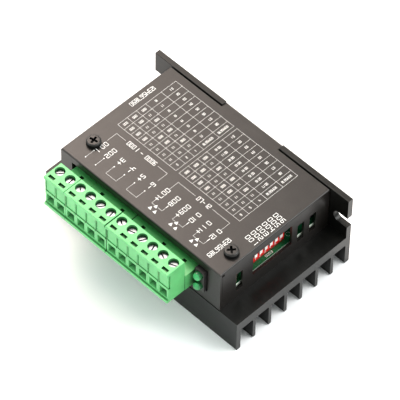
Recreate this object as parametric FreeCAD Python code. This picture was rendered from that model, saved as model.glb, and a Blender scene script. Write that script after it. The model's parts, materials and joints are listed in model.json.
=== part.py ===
import FreeCAD, Part
import math
import os

# Stepper motor driver module in an open frame.
# Millimetres. +X runs along the heatsink, +Y from the terminal side to the tall wall, +Z up.
# The origin is at the bottom centre of the whole module, plugs included.

V = FreeCAD.Vector

# Heatsink: finned base with a tall wall along its back
LENGTH = 96.0
HEATSINK_DEPTH = 57.0
PLUG_REACH = 14.2            # how far the plugs stand out in front of the heatsink
FRONT_Y = PLUG_REACH - (HEATSINK_DEPTH + PLUG_REACH) / 2
BACK_Y = FRONT_Y + HEATSINK_DEPTH
BASE_TOP = 14.65
BASE_THICKNESS = 4.3
BASE_BOTTOM = BASE_TOP - BASE_THICKNESS
WALL_TOP = 35.0
WALL_THICKNESS = 2.3
WALL_INNER_Y = BACK_Y - WALL_THICKNESS
FRONT_FIN_THICKNESS = 2.0
FIN_THICKNESS = 1.4
THIN_FINS = 6
FIN_TIP_ROUND = 0.45
FIN_ROOT_ROUND = 0.8
WALL_EDGE_ROUND = 0.25

# Open slots at both ends of the wall, for M5 or smaller screws
WALL_SLOT_WIDTH = 5.05
WALL_SLOT_DEPTH = 6.7
WALL_SLOT_Z = 23.0

# Notch in the wall's top edge, which takes the cover's rear tab
TAB_WIDTH = 27.8
TAB_SIDE_GAP = 0.2
TAB_UNDER_GAP = 0.1
TAB_BACK_GAP = 0.2

# Cover: folded sheet steel
SHEET = 1.0
COVER_X = (-40.0, 39.33)
COVER_FRONT_Y = FRONT_Y + 0.2
COVER_BACK_Y = WALL_INNER_Y - 0.4
COVER_TOP = 34.4
BEND_RADIUS = 0.6
INNER_BEND_RADIUS = 0.3
WINDOW_CORNER = 0.4
CORNER_SEAM = 0.15
CORNER_RELIEF = 1.0

# Windows in the cover
FRONT_WINDOW_X = (-34.4, 33.2)
FRONT_WINDOW_Z = (19.7, 31.4)
SWITCH_WINDOW_Y = (-5.1, 14.3)
SWITCH_WINDOW_Z = (20.4, 30.8)
VENT_WIDTH = 3.3
VENT_Z = (18.9, 28.0)
VENT_CENTRES_Y = (-11.75, 18.75, 24.85)

# Circuit board and what holds it
BOARD_TOP = 20.0
BOARD_THICKNESS = 1.6
BOARD_BOTTOM = BOARD_TOP - BOARD_THICKNESS
BOARD_HALF_LENGTH = 37.8
BOARD_FRONT_Y = FRONT_Y + 1.6
BOARD_BACK_Y = COVER_BACK_Y - 0.5
POST_PLACES = [(-33.6, -11.3), (34.7, -11.3)]
REAR_SCREW_PLACES = [(-33.6, 26.1), (33.0, 28.2)]
POST_ACROSS_FLATS = 5.0
SPACER_RADIUS = 2.5
THREAD_RADIUS = 1.45         # M3 thread
TAPPED_RADIUS = 1.5
CLEARANCE_RADIUS = 1.6
TAPPED_DEPTH = 3.1
TAPPED_BOTTOM = BASE_TOP - TAPPED_DEPTH
STUD_BOTTOM = 12.0
SCREW_HEAD_RADIUS = 2.75
SCREW_HEAD_HEIGHT = 1.8
COVER_SCREW_LENGTH = 6.0
POST_HOLE_DEPTH = 8.0

# Pluggable terminal blocks
PITCH = 5.08
POLE_GROUPS = (2, 4, 6)
GROUP_GAPS = (0.0, 0.10, 0.36)   # gap to the left of each block
FIRST_BLOCK_X = -33.62

# Sockets on the board
HEADER_FRONT_Y = -26.8
HEADER_DEPTH = 12.0
HEADER_TOP = 28.7
HEADER_BOTTOM = 20.9
HEADER_ROOF = 1.1
HEADER_FLOOR = 0.7
HEADER_END = 0.9
HEADER_BACK = 1.3
HEADER_FOOT = (1.4, 8.0)      # each foot lifts the socket off the board
LATCH_WINDOW = (1.6, 1.3)
LATCH_WINDOW_Y = -22.1
PIN_SIZE = 1.0
PIN_Z = 24.4
PIN_TIP_Y = -24.6
PIN_BOTTOM = 17.0

# Plug housings
PLUG_FRONT_Y = FRONT_Y - PLUG_REACH
PLUG_BACK_Y = -27.06
PLUG_TOP = 37.0
PLUG_BOTTOM = 21.15
SLAB_THICKNESS = 1.45
FACE_SETBACK = 0.7
LEDGE_THICKNESS = 1.35
NOSE_BOTTOM = 21.8
NOSE_TOP = 27.4
NOSE_END_Y = -17.3
NOSE_SIDE = 1.0
PLUG_EDGE_ROUND = 0.18
SCREW_Y = -29.98
SCREW_HOLE_RADIUS = 1.935
TEST_SLOT = (2.8, 1.3, 1.0)
TEST_SLOT_Y = -34.0
FUNNEL_HALF_WIDTH = 1.75
FUNNEL_Z = (23.4, 27.3)
FUNNEL_DEPTH = 1.9
THROAT_HALF_WIDTH = 1.15
THROAT_Z = (23.9, 26.1)
PANEL_X = (-2.3, 2.15)
PANEL_Z = (28.7, 34.5)
PANEL_DEPTH = 0.25
GROOVE_WIDTH = 0.42
GROOVE_DEPTH = 0.9

# Clamp screw and rising cage of one pole
CHAMBER_HALF_WIDTH = 1.85
CHAMBER_HALF_DEPTH = 2.4
CHAMBER_Z = (22.9, 32.9)
COLLAR_HOLE_RADIUS = 1.33
SEAT_Z = 33.9
HEAD_RADIUS = 1.75
HEAD_Z = (33.95, 35.6)
SHAFT_RADIUS = 1.25
SHAFT_END_Z = 27.2
SLOT_WIDTH = 0.5
SLOT_DEPTH = 0.8
SLOT_TURN = 47.0             # each screw stopped at its own angle
CAGE_HALF_WIDTH = 1.75
CAGE_HALF_DEPTH = 2.1
CAGE_SIDE = 0.4
CAGE_Z = (22.95, 30.4)
CAGE_FLOOR = 0.9
CAGE_ROOF = 1.1
CAGE_HOLE_RADIUS = 1.30

# Contact of one pole: a bar over the wire and a socket round the pin
CONTACT_HALF_WIDTH = 0.9
BAR_Z = (26.2, 26.9)
BAR_FRONT_Y = -32.0
RISER_Y = (-26.0, -25.3)
SOCKET_END_Y = -18.8
SOCKET_Z = (23.2, 25.6)
SOCKET_HOLLOW = 1.16
PIN_ENTRY = 1.5

# Six-way switch block
LEVERS = 6
LEVER_PITCH = 2.54
SWITCH_CENTRE_Y = 6.1
SWITCH_WIDTH = 16.74
SWITCH_FACE_X = 35.65
SWITCH_DEPTH = 5.25
SWITCH_HEIGHT = 9.7
LEVER_SLOT_WIDTH = 1.5
LEVER_SLOT_Z = (22.7, 26.9)
LEVER_SLOT_DEPTH = 2.6
LEVER_WIDTH = 1.3
LEVER_Z = (22.8, 24.7)
LEVER_PROUD = 0.5
LEVER_BACK_GAP = 0.1
SWITCH_PIN_ROWS_X = (31.4, 34.4)
SWITCH_PIN = (0.3, 0.5)
LEG_BOTTOM = 17.2

# Two lamps in one spacer
LED_X = 30.4
LED_HEIGHTS = {"alarm_led": 22.7, "power_led": 28.0}
LED_LEG_Y = {"alarm_led": -16.2, "power_led": -15.0}
LED_RADIUS = 1.75
LED_BORE_RADIUS = 1.8
LED_DOME_Y = -23.1
LED_BACK_Y = -19.2
LED_LEG = 0.45
LED_LEG_SPREAD = 1.27
HOLDER_HALF_WIDTH = 2.25
HOLDER_Y = (-22.5, -17.0)
HOLDER_TOP = 30.2

# Parts on the board
CHIP_CENTRE = (-2.0, 6.0)
CHIP_SIZE = 7.0
CHIP_HEIGHT = 0.9
PAD_SIZE = 10.0
CAPACITOR_PLACES = [(-27.0, 18.0), (-17.0, 18.0)]
CAPACITOR_RADIUS = 4.0
CAPACITOR_HEIGHT = 11.5
OPTOCOUPLER_X = (0.0, 10.0, 20.0)
OPTOCOUPLER_Y = -8.5
OPTOCOUPLER_SIZE = (4.6, 6.5, 3.5)
SENSE_PLACES = [(-22.0, -6.0), (-22.0, 0.0)]
SENSE_SIZE = (6.3, 3.2, 0.6)
REGULATOR_CENTRE = (-3.0, 22.0)
REGULATOR_SIZE = (6.5, 3.5, 1.6)
INDUCTOR_CENTRE = (9.0, 22.0)
INDUCTOR_SIZE = 6.0
INDUCTOR_HEIGHT = 3.0
SMALL_PART_SIZE = (2.0, 1.25, 0.6)
SMALL_PART_COLUMNS_X = (16.0, 20.0, 24.0)
SMALL_PART_ROWS_Y = (0.0, 4.0, 8.0, 12.0)


def box(x, y, z):
    """A block between two X, two Y and two Z values."""
    return Part.makeBox(x[1] - x[0], y[1] - y[0], z[1] - z[0], V(x[0], y[0], z[0]))


def block(centre_x, centre_y, size_x, size_y, z):
    """A block centred in X and Y, between two Z values."""
    half_x = size_x / 2
    half_y = size_y / 2
    return box((centre_x - half_x, centre_x + half_x), (centre_y - half_y, centre_y + half_y), z)


def rod(radius, x, y, z):
    """An upright cylinder between two Z values."""
    return Part.makeCylinder(radius, z[1] - z[0], V(x, y, z[0]))


def join(pieces):
    """One solid from touching or overlapping pieces."""
    return pieces[0].multiFuse(pieces[1:]).removeSplitter()


def along(edge, axis):
    """True when a straight edge runs along the given axis vector."""
    run = edge.Vertexes[-1].Point.sub(edge.Vertexes[0].Point)
    return run.Length > 1e-6 and abs(run.dot(axis)) > 0.999 * run.Length


def edges_where(shape, axis, test):
    """The straight edges along an axis whose midpoint passes a test."""
    chosen = []
    for edge in shape.Edges:
        if len(edge.Vertexes) != 2 or not along(edge, axis):
            continue
        middle = edge.Vertexes[0].Point.add(edge.Vertexes[1].Point).multiply(0.5)
        if test(middle):
            chosen.append(edge)
    return chosen


def near(a, b):
    return abs(a - b) < 1e-4


def rounded_box(x, y, z, axis, radius):
    """A block with its four edges along one axis rounded."""
    shape = box(x, y, z)
    return shape.makeFillet(radius, edges_where(shape, axis, lambda point: True))


def save(name, pieces):
    """Write one node, which may hold several separate solids."""
    solids = []
    for piece in pieces:
        solids.extend(piece.Solids)
    shape = solids[0] if len(solids) == 1 else Part.makeCompound(solids)
    if not all(solid.isValid() for solid in solids):
        raise ValueError(name + " holds an invalid solid")
    shape.exportStep("parts/" + name + ".step")
    print(name, len(solids), round(sum(solid.Volume for solid in solids), 2))


# ---------------------------------------------------------------- frame

def fin_centres():
    """Y of each fin, evenly spaced between the front fin and the wall."""
    first = FRONT_Y + FRONT_FIN_THICKNESS / 2
    last = BACK_Y - WALL_THICKNESS / 2
    pitch = (last - first) / (THIN_FINS + 1)
    return [first + pitch * (i + 1) for i in range(THIN_FINS)]


def heatsink():
    x = (-LENGTH / 2, LENGTH / 2)
    pieces = [box(x, (FRONT_Y, BACK_Y), (BASE_BOTTOM, BASE_TOP))]
    pieces.append(box(x, (FRONT_Y, FRONT_Y + FRONT_FIN_THICKNESS), (0, BASE_TOP)))
    pieces.append(box(x, (WALL_INNER_Y, BACK_Y), (0, WALL_TOP)))
    for y in fin_centres():
        half = FIN_THICKNESS / 2
        pieces.append(box(x, (y - half, y + half), (0, BASE_TOP)))
    body = join(pieces)
    along_x = V(1, 0, 0)
    body = body.makeFillet(FIN_TIP_ROUND, edges_where(body, along_x, lambda p: near(p.z, 0)))
    roots = edges_where(body, along_x, lambda p: near(p.z, BASE_BOTTOM))
    body = body.makeFillet(FIN_ROOT_ROUND, roots)
    body = body.makeFillet(WALL_EDGE_ROUND, edges_where(body, along_x, lambda p: near(p.z, WALL_TOP)))

    cutters = [wall_notch()]
    cutters.extend(wall_slot(side) for side in (-1, 1))
    for px, py in POST_PLACES + REAR_SCREW_PLACES:
        cutters.append(rod(TAPPED_RADIUS, px, py, (TAPPED_BOTTOM, BASE_TOP + 1)))
    return body.cut(cutters)


def wall_notch():
    half = TAB_WIDTH / 2 + TAB_SIDE_GAP
    floor = COVER_TOP - SHEET - TAB_UNDER_GAP
    return box((-half, half), (WALL_INNER_Y - 1, BACK_Y + 1), (floor, WALL_TOP + 1))


def wall_slot(side):
    """One slot with a round inner end, open at the end of the wall."""
    radius = WALL_SLOT_WIDTH / 2
    centre_x = side * (LENGTH / 2 - WALL_SLOT_DEPTH + radius)
    y = (WALL_INNER_Y - 1, BACK_Y + 1)
    bore = Part.makeCylinder(radius, y[1] - y[0], V(centre_x, y[0], WALL_SLOT_Z), V(0, 1, 0))
    x = sorted((centre_x, side * (LENGTH / 2 + 1)))
    return bore.fuse(box(x, y, (WALL_SLOT_Z - radius, WALL_SLOT_Z + radius)))


def top_cover():
    shell = box(COVER_X, (COVER_FRONT_Y, COVER_BACK_Y), (BASE_TOP, COVER_TOP))
    bends = edges_where(shell, V(1, 0, 0), lambda p: near(p.z, COVER_TOP) and near(p.y, COVER_FRONT_Y))
    bends += edges_where(shell, V(0, 1, 0), lambda p: near(p.z, COVER_TOP))
    shell = shell.makeFillet(BEND_RADIUS, bends)
    inside_x = (COVER_X[0] + SHEET, COVER_X[1] - SHEET)
    inside = box(inside_x, (COVER_FRONT_Y + SHEET, COVER_BACK_Y + 1),
                 (BASE_TOP - 1, COVER_TOP - SHEET))
    bends = edges_where(inside, V(1, 0, 0), lambda p: p.z > BASE_TOP and p.y < 0)
    bends += edges_where(inside, V(0, 1, 0), lambda p: p.z > BASE_TOP)
    shell = shell.cut(inside.makeFillet(INNER_BEND_RADIUS, bends))
    half = TAB_WIDTH / 2
    tab = rounded_box((-half, half), (COVER_BACK_Y - 3, BACK_Y - TAB_BACK_GAP),
                      (COVER_TOP - SHEET, COVER_TOP), V(0, 0, 1), WINDOW_CORNER)
    shell = join([shell, tab])
    cutters = front_window() + end_windows() + corner_seams()
    for px, py in POST_PLACES:
        cutters.append(rod(CLEARANCE_RADIUS, px, py, (COVER_TOP - 2 * SHEET, COVER_TOP + 1)))
    return shell.cut(cutters)


def front_window():
    return [rounded_box(FRONT_WINDOW_X, (COVER_FRONT_Y - 1, COVER_FRONT_Y + 2 * SHEET),
                        FRONT_WINDOW_Z, V(0, 1, 0), WINDOW_CORNER)]


def end_windows():
    """The switch window and three vents in the right end."""
    x = (COVER_X[1] - 2 * SHEET, COVER_X[1] + 1)
    shapes = [rounded_box(x, SWITCH_WINDOW_Y, SWITCH_WINDOW_Z, V(1, 0, 0), WINDOW_CORNER)]
    for y in VENT_CENTRES_Y:
        sides = (y - VENT_WIDTH / 2, y + VENT_WIDTH / 2)
        shapes.append(rounded_box(x, sides, VENT_Z, V(1, 0, 0), WINDOW_CORNER))
    return shapes


def corner_seams():
    """Where the end skirts meet the front skirt: a fine gap with a relief notch at its top."""
    seam_y = COVER_FRONT_Y + SHEET
    notch_top = COVER_TOP - BEND_RADIUS
    shapes = []
    for side, end_x in zip((-1, 1), COVER_X):
        x = sorted((end_x - side * (SHEET + 0.2), end_x + side))
        shapes.append(box(x, (seam_y, seam_y + CORNER_SEAM), (BASE_TOP - 1, notch_top)))
        relief_y = (seam_y - CORNER_RELIEF / 4, seam_y + CORNER_RELIEF)
        shapes.append(box(x, relief_y, (notch_top - CORNER_RELIEF, notch_top)))
    return shapes


def cross_recess(x, y, top, reach, turn):
    """Cutter for a cross recess in a screw head."""
    arms = []
    for angle in (turn, turn + 90):
        arm = box((-reach, reach), (-0.45, 0.45), (top - 1.3, top + 1))
        arm.rotate(V(0, 0, 0), V(0, 0, 1), angle)
        arm.translate(V(x, y, 0))
        arms.append(arm)
    return arms[0].fuse(arms[1])


def pan_screw(x, y, seat_z, end_z, turn):
    """A pan-head cross-recess screw standing on seat_z."""
    head = rod(SCREW_HEAD_RADIUS, x, y, (seat_z, seat_z + SCREW_HEAD_HEIGHT))
    rim = [edge for edge in head.Edges if near(edge.BoundBox.ZMin, edge.BoundBox.ZMax)
           and edge.BoundBox.ZMin > seat_z + 0.5]
    head = head.makeFillet(0.7, rim)
    screw = head.fuse(rod(THREAD_RADIUS, x, y, (end_z, seat_z))).removeSplitter()
    return screw.cut(cross_recess(x, y, seat_z + SCREW_HEAD_HEIGHT, 1.65, turn))


def cover_screws():
    return [pan_screw(x, y, COVER_TOP, COVER_TOP - COVER_SCREW_LENGTH, turn)
            for (x, y), turn in zip(POST_PLACES, (12.0, 50.0))]


def cover_post(x, y):
    """Hexagonal standoff with a stud below and a tapped hole above."""
    corner = POST_ACROSS_FLATS / 2 / math.cos(math.pi / 6)
    outline = [V(x + corner * math.cos(math.radians(60 * i)), y + corner * math.sin(math.radians(60 * i)),
                 BOARD_TOP) for i in range(7)]
    height = COVER_TOP - SHEET - BOARD_TOP
    hexagon = Part.Face(Part.makePolygon(outline)).extrude(V(0, 0, height))
    post = hexagon.fuse(rod(THREAD_RADIUS, x, y, (STUD_BOTTOM, BOARD_TOP))).removeSplitter()
    top = BOARD_TOP + height
    return post.cut(rod(TAPPED_RADIUS, x, y, (top - POST_HOLE_DEPTH, top + 1)))


def board_spacer(x, y):
    z = (BASE_TOP, BOARD_BOTTOM)
    return rod(SPACER_RADIUS, x, y, z).cut(rod(CLEARANCE_RADIUS, x, y, z))


def circuit_board(pins, legs):
    """The board, with a hole for each screw, pin and leg."""
    board = rounded_box((-BOARD_HALF_LENGTH, BOARD_HALF_LENGTH), (BOARD_FRONT_Y, BOARD_BACK_Y),
                        (BOARD_BOTTOM, BOARD_TOP), V(0, 0, 1), 0.8)
    z = (BOARD_BOTTOM - 1, BOARD_TOP + 1)
    cutters = [rod(CLEARANCE_RADIUS, px, py, z) for px, py in POST_PLACES + REAR_SCREW_PLACES]
    return board.cut(cutters).cut(pins + legs)


# ---------------------------------------------------------------- terminal blocks

def block_starts():
    """Left end of each terminal block."""
    starts = []
    x = FIRST_BLOCK_X
    for poles, gap in zip(POLE_GROUPS, GROUP_GAPS):
        x += gap
        starts.append(x)
        x += poles * PITCH
    return starts


def pole_centres(start, poles):
    return [start + PITCH * (i + 0.5) for i in range(poles)]


def header(start, poles, pins):
    """Socket for one plug, open to the front."""
    end = start + poles * PITCH
    back = HEADER_FRONT_Y + HEADER_DEPTH
    middle = (HEADER_FRONT_Y + back) / 2
    shell = box((start, end), (HEADER_FRONT_Y, back), (HEADER_BOTTOM, HEADER_TOP))
    soft = edges_where(shell, V(1, 0, 0), lambda p: near(p.z, HEADER_TOP))
    shell = shell.makeFillet(0.15, soft)
    cutters = [box((start + HEADER_END, end - HEADER_END), (HEADER_FRONT_Y - 1, back - HEADER_BACK),
                   (HEADER_BOTTOM + HEADER_FLOOR, HEADER_TOP - HEADER_ROOF))]
    for i in range(1, poles, 2):
        cutters.append(block(start + i * PITCH, LATCH_WINDOW_Y, LATCH_WINDOW[0], LATCH_WINDOW[1],
                             (HEADER_TOP - HEADER_ROOF - 0.5, HEADER_TOP + 1)))
    feet = [block(start + PITCH * i, middle, HEADER_FOOT[0], HEADER_FOOT[1], (BOARD_TOP, HEADER_BOTTOM))
            for i in range(1, poles)]
    return join([shell.cut(cutters)] + feet).cut(pins)


def header_pin(x):
    """Square pin, bent down behind the socket and through the board."""
    half = PIN_SIZE / 2
    side = (x - half, x + half)
    bend_y = HEADER_FRONT_Y + HEADER_DEPTH
    level = box(side, (PIN_TIP_Y, bend_y + PIN_SIZE), (PIN_Z - half, PIN_Z + half))
    upright = box(side, (bend_y, bend_y + PIN_SIZE), (PIN_BOTTOM, PIN_Z + half))
    return join([level, upright])


def plug_contact(x):
    """Bar over the wire, a riser and a socket round the pin."""
    outline = contact_outline(x)
    half = SOCKET_HOLLOW / 2
    hollow = box((x - half, x + half), (RISER_Y[0] - 1, SOCKET_END_Y + 1), (PIN_Z - half, PIN_Z + half))
    return outline.cut(hollow)


def contact_outline(x):
    side = (x - CONTACT_HALF_WIDTH, x + CONTACT_HALF_WIDTH)
    bar = box(side, (BAR_FRONT_Y, RISER_Y[1]), BAR_Z)
    riser = box(side, RISER_Y, (SOCKET_Z[0], BAR_Z[1]))
    socket = box(side, (RISER_Y[0], SOCKET_END_Y), SOCKET_Z)
    return join([bar, riser, socket])


def rectangle(x, z, y):
    """Closed rectangular wire standing at one Y."""
    corners = [V(x[0], y, z[0]), V(x[1], y, z[0]), V(x[1], y, z[1]), V(x[0], y, z[1])]
    return Part.makePolygon(corners + corners[:1])


def wire_funnel(x, face_y):
    """Cutter for the tapered wire entry and the throat behind it."""
    mouth = rectangle((x - FUNNEL_HALF_WIDTH, x + FUNNEL_HALF_WIDTH), FUNNEL_Z, face_y)
    neck = rectangle((x - THROAT_HALF_WIDTH, x + THROAT_HALF_WIDTH), THROAT_Z, face_y + FUNNEL_DEPTH)
    taper = Part.makeLoft([mouth, neck], True)
    throat = box((x - THROAT_HALF_WIDTH, x + THROAT_HALF_WIDTH), (face_y + FUNNEL_DEPTH, SCREW_Y), THROAT_Z)
    return taper, throat


def pole_cutters(x):
    """Everything that one pole removes from its plug housing."""
    face_y = PLUG_FRONT_Y + FACE_SETBACK
    taper, throat = wire_funnel(x, face_y)
    chamber_y = (SCREW_Y - CHAMBER_HALF_DEPTH, SCREW_Y + CHAMBER_HALF_DEPTH)
    half = PIN_ENTRY / 2
    groove_x = x + PANEL_X[1]
    slab_bottom = PLUG_TOP - SLAB_THICKNESS
    return [
        taper,
        throat,
        rod(SCREW_HOLE_RADIUS, x, SCREW_Y, (SEAT_Z, PLUG_TOP + 1)),
        rod(COLLAR_HOLE_RADIUS, x, SCREW_Y, (CHAMBER_Z[1] - 1, SEAT_Z + 1)),
        box((x - CHAMBER_HALF_WIDTH, x + CHAMBER_HALF_WIDTH), chamber_y, CHAMBER_Z),
        block(x, TEST_SLOT_Y, TEST_SLOT[0], TEST_SLOT[1], (PLUG_TOP - TEST_SLOT[2], PLUG_TOP + 1)),
        box((x + PANEL_X[0], groove_x), (face_y - 1, face_y + PANEL_DEPTH), PANEL_Z),
        box((groove_x, groove_x + GROOVE_WIDTH), (face_y - 1, face_y + GROOVE_DEPTH),
            (PANEL_Z[0] - GROOVE_WIDTH, slab_bottom)),
        box((x - half, x + half), (SOCKET_END_Y - 1, NOSE_END_Y + 1), (PIN_Z - half, PIN_Z + half)),
        contact_outline(x),
    ]


def plug_housing(start, poles):
    """Green plug body: screw block in front, nose behind."""
    end = start + poles * PITCH
    x = (start, end)
    face_y = PLUG_FRONT_Y + FACE_SETBACK
    body = box(x, (face_y, PLUG_BACK_Y), (PLUG_BOTTOM, PLUG_TOP))
    slab = box(x, (PLUG_FRONT_Y, PLUG_BACK_Y), (PLUG_TOP - SLAB_THICKNESS, PLUG_TOP))
    ledge = box(x, (PLUG_FRONT_Y, PLUG_BACK_Y), (PLUG_BOTTOM, PLUG_BOTTOM + LEDGE_THICKNESS))
    head = join([body, slab, ledge])
    soft = edges_where(head, V(1, 0, 0), lambda p: p.y < face_y - 0.1 or near(p.z, PLUG_TOP))
    soft += edges_where(head, V(0, 1, 0), lambda p: near(p.z, PLUG_TOP))
    head = head.makeFillet(PLUG_EDGE_ROUND, soft)
    nose = box((start + NOSE_SIDE, end - NOSE_SIDE), (PLUG_BACK_Y - 0.5, NOSE_END_Y), (NOSE_BOTTOM, NOSE_TOP))
    housing = join([head, nose])
    cutters = []
    for centre in pole_centres(start, poles):
        cutters.extend(pole_cutters(centre))
    return housing.cut(cutters)


def terminal_screw(x, turn):
    """Slotted captive screw."""
    head = rod(HEAD_RADIUS, x, SCREW_Y, HEAD_Z)
    rim = [edge for edge in head.Edges if near(edge.BoundBox.ZMin, HEAD_Z[1])]
    head = head.makeFillet(0.2, rim)
    screw = join([head, rod(SHAFT_RADIUS, x, SCREW_Y, (SHAFT_END_Z, HEAD_Z[0]))])
    slot = box((-HEAD_RADIUS - 1, HEAD_RADIUS + 1), (-SLOT_WIDTH / 2, SLOT_WIDTH / 2),
               (HEAD_Z[1] - SLOT_DEPTH, HEAD_Z[1] + 1))
    slot.rotate(V(0, 0, 0), V(0, 0, 1), turn)
    slot.translate(V(x, SCREW_Y, 0))
    return screw.cut(slot)


def wire_clamp(x):
    """Rising cage, open towards the wire, with the thread in its roof."""
    outer = block(x, SCREW_Y, 2 * CAGE_HALF_WIDTH, 2 * CAGE_HALF_DEPTH, CAGE_Z)
    outer = outer.makeFillet(0.3, edges_where(outer, V(0, 1, 0), lambda p: True))
    inner_half = CAGE_HALF_WIDTH - CAGE_SIDE
    opening = block(x, SCREW_Y, 2 * inner_half, 2 * CAGE_HALF_DEPTH + 2,
                    (CAGE_Z[0] + CAGE_FLOOR, CAGE_Z[1] - CAGE_ROOF))
    thread = rod(CAGE_HOLE_RADIUS, x, SCREW_Y, (CAGE_Z[1] - CAGE_ROOF - 1, CAGE_Z[1] + 1))
    return outer.cut([opening, thread])


# ---------------------------------------------------------------- switch and lamps

def lever_centres():
    first = SWITCH_CENTRE_Y - LEVER_PITCH * (LEVERS - 1) / 2
    return [first + LEVER_PITCH * i for i in range(LEVERS)]


def dip_switch_body():
    half = SWITCH_WIDTH / 2
    body = rounded_box((SWITCH_FACE_X - SWITCH_DEPTH, SWITCH_FACE_X),
                       (SWITCH_CENTRE_Y - half, SWITCH_CENTRE_Y + half),
                       (BOARD_TOP, BOARD_TOP + SWITCH_HEIGHT), V(0, 0, 1), 0.2)
    cutters = []
    for y in lever_centres():
        sides = (y - LEVER_SLOT_WIDTH / 2, y + LEVER_SLOT_WIDTH / 2)
        cutters.append(box((SWITCH_FACE_X - LEVER_SLOT_DEPTH, SWITCH_FACE_X + 1), sides, LEVER_SLOT_Z))
    return body.cut(cutters)


def dip_lever(y):
    x = (SWITCH_FACE_X - LEVER_SLOT_DEPTH + LEVER_BACK_GAP, SWITCH_FACE_X + LEVER_PROUD)
    lever = box(x, (y - LEVER_WIDTH / 2, y + LEVER_WIDTH / 2), LEVER_Z)
    front = edges_where(lever, V(0, 1, 0), lambda p: near(p.x, x[1]))
    return lever.makeFillet(0.15, front)


def dip_switch_legs():
    legs = []
    for x in SWITCH_PIN_ROWS_X:
        for y in lever_centres():
            legs.append(block(x, y, SWITCH_PIN[0], SWITCH_PIN[1], (LEG_BOTTOM, BOARD_TOP)))
    return legs


def led_legs(name):
    """Two legs that run back out of the lamp and bend down into the board."""
    z = LED_HEIGHTS[name]
    leg_y = LED_LEG_Y[name]
    half = LED_LEG / 2
    legs = []
    for x in (LED_X - LED_LEG_SPREAD / 2, LED_X + LED_LEG_SPREAD / 2):
        side = (x - half, x + half)
        level = box(side, (LED_BACK_Y, leg_y + half), (z - half, z + half))
        upright = box(side, (leg_y - half, leg_y + half), (LEG_BOTTOM, z + half))
        legs.append(join([level, upright]))
    return legs


def led(name):
    z = LED_HEIGHTS[name]
    body = Part.makeCylinder(LED_RADIUS, LED_BACK_Y - LED_DOME_Y, V(LED_X, LED_DOME_Y, z), V(0, 1, 0))
    dome = Part.makeSphere(LED_RADIUS, V(LED_X, LED_DOME_Y, z))
    return [join([body, dome])] + led_legs(name)


def led_holder():
    holder = rounded_box((LED_X - HOLDER_HALF_WIDTH, LED_X + HOLDER_HALF_WIDTH), HOLDER_Y,
                         (BOARD_TOP, HOLDER_TOP), V(0, 1, 0), 0.2)
    cutters = []
    for name, z in LED_HEIGHTS.items():
        start = V(LED_X, HOLDER_Y[0] - 1, z)
        cutters.append(Part.makeCylinder(LED_BORE_RADIUS, LED_BACK_Y - HOLDER_Y[0] + 1, start, V(0, 1, 0)))
        cutters.extend(led_legs(name))
    return holder.cut(cutters)


# ---------------------------------------------------------------- parts on the board

def on_board(centre, size):
    """A block that stands on the board."""
    return block(centre[0], centre[1], size[0], size[1], (BOARD_TOP, BOARD_TOP + size[2]))


def capacitor(x, y):
    can = rod(CAPACITOR_RADIUS, x, y, (BOARD_TOP, BOARD_TOP + CAPACITOR_HEIGHT))
    rims = [edge for edge in can.Edges if near(edge.BoundBox.ZMin, edge.BoundBox.ZMax)]
    can = can.makeFillet(0.5, rims)
    waist = Part.makeTorus(CAPACITOR_RADIUS + 0.25, 0.5, V(x, y, BOARD_TOP + 2.2))
    return can.cut(waist)


def voltage_regulator():
    body = on_board(REGULATOR_CENTRE, REGULATOR_SIZE)
    x, y = REGULATOR_CENTRE
    edge_y = y + REGULATOR_SIZE[1] / 2
    tab = box((x - 1.5, x + 1.5), (edge_y - 0.5, edge_y + 1.7), (BOARD_TOP, BOARD_TOP + 0.3))
    legs = []
    for offset in (-2.3, 0.0, 2.3):
        front_y = y - REGULATOR_SIZE[1] / 2
        legs.append(box((x + offset - 0.35, x + offset + 0.35), (front_y - 1.7, front_y + 0.5),
                        (BOARD_TOP, BOARD_TOP + 0.3)))
    return join([body, tab] + legs)


def optocoupler(x):
    """Four-leg package."""
    pieces = [on_board((x, OPTOCOUPLER_Y), OPTOCOUPLER_SIZE)]
    for side in (-1, 1):
        for offset in (-1.27, 1.27):
            y = OPTOCOUPLER_Y + side * (OPTOCOUPLER_SIZE[1] / 2 + 0.5)
            pieces.append(block(x + offset, y, 0.6, 1.4, (BOARD_TOP, BOARD_TOP + 0.3)))
    return join(pieces)


def power_inductor():
    body = on_board(INDUCTOR_CENTRE, (INDUCTOR_SIZE, INDUCTOR_SIZE, INDUCTOR_HEIGHT))
    return body.makeFillet(1.2, edges_where(body, V(0, 0, 1), lambda p: True))


def small_parts():
    return [on_board((x, y), SMALL_PART_SIZE) for x in SMALL_PART_COLUMNS_X for y in SMALL_PART_ROWS_Y]


def driver_chip():
    z = (BOARD_BOTTOM - CHIP_HEIGHT, BOARD_BOTTOM)
    return block(CHIP_CENTRE[0], CHIP_CENTRE[1], CHIP_SIZE, CHIP_SIZE, z)


def thermal_pad():
    z = (BASE_TOP, BOARD_BOTTOM - CHIP_HEIGHT)
    return block(CHIP_CENTRE[0], CHIP_CENTRE[1], PAD_SIZE, PAD_SIZE, z)


# ---------------------------------------------------------------- build

def build_terminal_blocks():
    """Sockets, plugs, contacts, screws and clamps. Returns all the pins."""
    all_pins = []
    number = 0
    for start, poles in zip(block_starts(), POLE_GROUPS):
        centres = pole_centres(start, poles)
        pins = [header_pin(x) for x in centres]
        all_pins.extend(pins)
        ways = "%dway" % poles
        save("header_" + ways, [header(start, poles, pins)])
        save("plug_housing_" + ways, [plug_housing(start, poles)])
        save("plug_contacts_" + ways, [plug_contact(x) for x in centres])
        for x in centres:
            number += 1
            save("terminal_screw_%02d" % number, [terminal_screw(x, SLOT_TURN * number)])
            save("wire_clamp_%02d" % number, [wire_clamp(x)])
    save("header_pins", all_pins)
    return all_pins


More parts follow.
